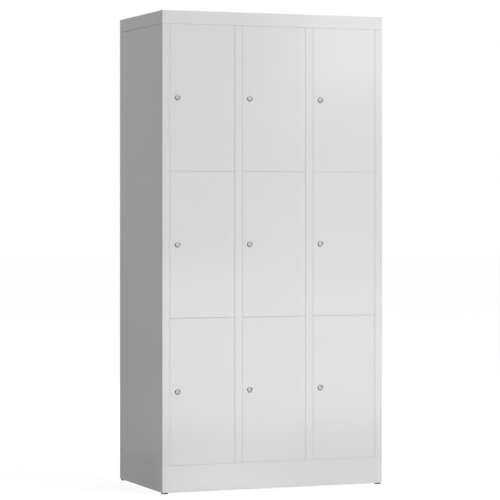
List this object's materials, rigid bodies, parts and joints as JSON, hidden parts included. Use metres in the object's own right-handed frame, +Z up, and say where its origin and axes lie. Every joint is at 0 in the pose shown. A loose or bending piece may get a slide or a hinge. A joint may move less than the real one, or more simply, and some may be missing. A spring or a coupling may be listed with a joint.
{
  "type": "compartment locker",
  "caption": "Free-standing sheet steel locker with a grid of flush hinged doors, each with a small cam lock, on a closed plinth with levelling feet.",
  "frame": {"origin": "on the floor, under the middle of the locker; the middle of the depth counts the lock heads", "axes": "+Z up; the doors face -Y; +X to the right as seen from the front"},
  "size_m": [0.9, 0.5034, 1.805],
  "materials": {
    "powder_coat": "light grey powder coat, semi-gloss with a faint orange peel",
    "lock_chrome": "bright nickel-chrome plate",
    "plug_nickel": "satin nickel plate",
    "zinc_plate": "bright zinc plate",
    "bright_steel": "drawn steel rod",
    "black_plastic": "black moulded plastic, matte"
  },
  "bodies": {
    "carcass": {"left_side_panel": "powder_coat", "right_side_panel": "powder_coat", "left_upright": "powder_coat", "right_upright": "powder_coat", "back_panel": "powder_coat", "top_cap": "powder_coat", "base_plinth": "powder_coat", "shelf_lower_left": "powder_coat", "shelf_upper_left": "powder_coat", "shelf_lower_centre": "powder_coat", "shelf_upper_centre": "powder_coat", "shelf_lower_right": "powder_coat", "shelf_upper_right": "powder_coat", "hinge_rod_left": "bright_steel", "hinge_rod_centre": "bright_steel", "hinge_rod_right": "bright_steel"},
    "bottom_left_door": {"door_bottom_left": "powder_coat", "lock_housing_bottom_left": "lock_chrome"},
    "bottom_left_lock": {"lock_plug_bottom_left": "plug_nickel", "lock_cam_bottom_left": "zinc_plate"},
    "middle_left_door": {"door_middle_left": "powder_coat", "lock_housing_middle_left": "lock_chrome"},
    "middle_left_lock": {"lock_plug_middle_left": "plug_nickel", "lock_cam_middle_left": "zinc_plate"},
    "top_left_door": {"door_top_left": "powder_coat", "lock_housing_top_left": "lock_chrome"},
    "top_left_lock": {"lock_plug_top_left": "plug_nickel", "lock_cam_top_left": "zinc_plate"},
    "bottom_centre_door": {"door_bottom_centre": "powder_coat", "lock_housing_bottom_centre": "lock_chrome"},
    "bottom_centre_lock": {"lock_plug_bottom_centre": "plug_nickel", "lock_cam_bottom_centre": "zinc_plate"},
    "middle_centre_door": {"door_middle_centre": "powder_coat", "lock_housing_middle_centre": "lock_chrome"},
    "middle_centre_lock": {"lock_plug_middle_centre": "plug_nickel", "lock_cam_middle_centre": "zinc_plate"},
    "top_centre_door": {"door_top_centre": "powder_coat", "lock_housing_top_centre": "lock_chrome"},
    "top_centre_lock": {"lock_plug_top_centre": "plug_nickel", "lock_cam_top_centre": "zinc_plate"},
    "bottom_right_door": {"door_bottom_right": "powder_coat", "lock_housing_bottom_right": "lock_chrome"},
    "bottom_right_lock": {"lock_plug_bottom_right": "plug_nickel", "lock_cam_bottom_right": "zinc_plate"},
    "middle_right_door": {"door_middle_right": "powder_coat", "lock_housing_middle_right": "lock_chrome"},
    "middle_right_lock": {"lock_plug_middle_right": "plug_nickel", "lock_cam_middle_right": "zinc_plate"},
    "top_right_door": {"door_top_right": "powder_coat", "lock_housing_top_right": "lock_chrome"},
    "top_right_lock": {"lock_plug_top_right": "plug_nickel", "lock_cam_top_right": "zinc_plate"},
    "front_left_foot": {"foot_pad_front_left": "black_plastic", "foot_stud_front_left": "zinc_plate"},
    "front_right_foot": {"foot_pad_front_right": "black_plastic", "foot_stud_front_right": "zinc_plate"},
    "back_left_foot": {"foot_pad_back_left": "black_plastic", "foot_stud_back_left": "zinc_plate"},
    "back_right_foot": {"foot_pad_back_right": "black_plastic", "foot_stud_back_right": "zinc_plate"}
  },
  "joints": [
    {"name": "bottom_left_door_hinge", "type": "hinge", "parent": "carcass", "child": "bottom_left_door", "pos_m": [-0.174, -0.24325, 0.38], "axis": [0, 0, 1], "range_deg": [0, 110]},
    {"name": "bottom_left_lock_turn", "type": "hinge", "parent": "bottom_left_door", "child": "bottom_left_lock", "pos_m": [-0.39, -0.24825, 0.38], "axis": [0, 1, 0], "range_deg": [0, 90]},
    {"name": "middle_left_door_hinge", "type": "hinge", "parent": "carcass", "child": "middle_left_door", "pos_m": [-0.174, -0.24325, 0.93], "axis": [0, 0, 1], "range_deg": [0, 110]},
    {"name": "middle_left_lock_turn", "type": "hinge", "parent": "middle_left_door", "child": "middle_left_lock", "pos_m": [-0.39, -0.24825, 0.93], "axis": [0, 1, 0], "range_deg": [0, 90]},
    {"name": "top_left_door_hinge", "type": "hinge", "parent": "carcass", "child": "top_left_door", "pos_m": [-0.174, -0.24325, 1.48], "axis": [0, 0, 1], "range_deg": [0, 110]},
    {"name": "top_left_lock_turn", "type": "hinge", "parent": "top_left_door", "child": "top_left_lock", "pos_m": [-0.39, -0.24825, 1.48], "axis": [0, 1, 0], "range_deg": [0, 90]},
    {"name": "bottom_centre_door_hinge", "type": "hinge", "parent": "carcass", "child": "bottom_centre_door", "pos_m": [0.116, -0.24325, 0.38], "axis": [0, 0, 1], "range_deg": [0, 110]},
    {"name": "bottom_centre_lock_turn", "type": "hinge", "parent": "bottom_centre_door", "child": "bottom_centre_lock", "pos_m": [-0.1, -0.24825, 0.38], "axis": [0, 1, 0], "range_deg": [0, 90]},
    {"name": "middle_centre_door_hinge", "type": "hinge", "parent": "carcass", "child": "middle_centre_door", "pos_m": [0.116, -0.24325, 0.93], "axis": [0, 0, 1], "range_deg": [0, 110]},
    {"name": "middle_centre_lock_turn", "type": "hinge", "parent": "middle_centre_door", "child": "middle_centre_lock", "pos_m": [-0.1, -0.24825, 0.93], "axis": [0, 1, 0], "range_deg": [0, 90]},
    {"name": "top_centre_door_hinge", "type": "hinge", "parent": "carcass", "child": "top_centre_door", "pos_m": [0.116, -0.24325, 1.48], "axis": [0, 0, 1], "range_deg": [0, 110]},
    {"name": "top_centre_lock_turn", "type": "hinge", "parent": "top_centre_door", "child": "top_centre_lock", "pos_m": [-0.1, -0.24825, 1.48], "axis": [0, 1, 0], "range_deg": [0, 90]},
    {"name": "bottom_right_door_hinge", "type": "hinge", "parent": "carcass", "child": "bottom_right_door", "pos_m": [0.406, -0.24325, 0.38], "axis": [0, 0, 1], "range_deg": [0, 110]},
    {"name": "bottom_right_lock_turn", "type": "hinge", "parent": "bottom_right_door", "child": "bottom_right_lock", "pos_m": [0.19, -0.24825, 0.38], "axis": [0, 1, 0], "range_deg": [0, 90]},
    {"name": "middle_right_door_hinge", "type": "hinge", "parent": "carcass", "child": "middle_right_door", "pos_m": [0.406, -0.24325, 0.93], "axis": [0, 0, 1], "range_deg": [0, 110]},
    {"name": "middle_right_lock_turn", "type": "hinge", "parent": "middle_right_door", "child": "middle_right_lock", "pos_m": [0.19, -0.24825, 0.93], "axis": [0, 1, 0], "range_deg": [0, 90]},
    {"name": "top_right_door_hinge", "type": "hinge", "parent": "carcass", "child": "top_right_door", "pos_m": [0.406, -0.24325, 1.48], "axis": [0, 0, 1], "range_deg": [0, 110]},
    {"name": "top_right_lock_turn", "type": "hinge", "parent": "top_right_door", "child": "top_right_lock", "pos_m": [0.19, -0.24825, 1.48], "axis": [0, 1, 0], "range_deg": [0, 90]},
    {"name": "front_left_foot_height", "type": "slide", "parent": "carcass", "child": "front_left_foot", "axis": [0, 0, -1], "range_m": [0, 0.015]},
    {"name": "front_right_foot_height", "type": "slide", "parent": "carcass", "child": "front_right_foot", "axis": [0, 0, -1], "range_m": [0, 0.015]},
    {"name": "back_left_foot_height", "type": "slide", "parent": "carcass", "child": "back_left_foot", "axis": [0, 0, -1], "range_m": [0, 0.015]},
    {"name": "back_right_foot_height", "type": "slide", "parent": "carcass", "child": "back_right_foot", "axis": [0, 0, -1], "range_m": [0, 0.015]}
  ]
}
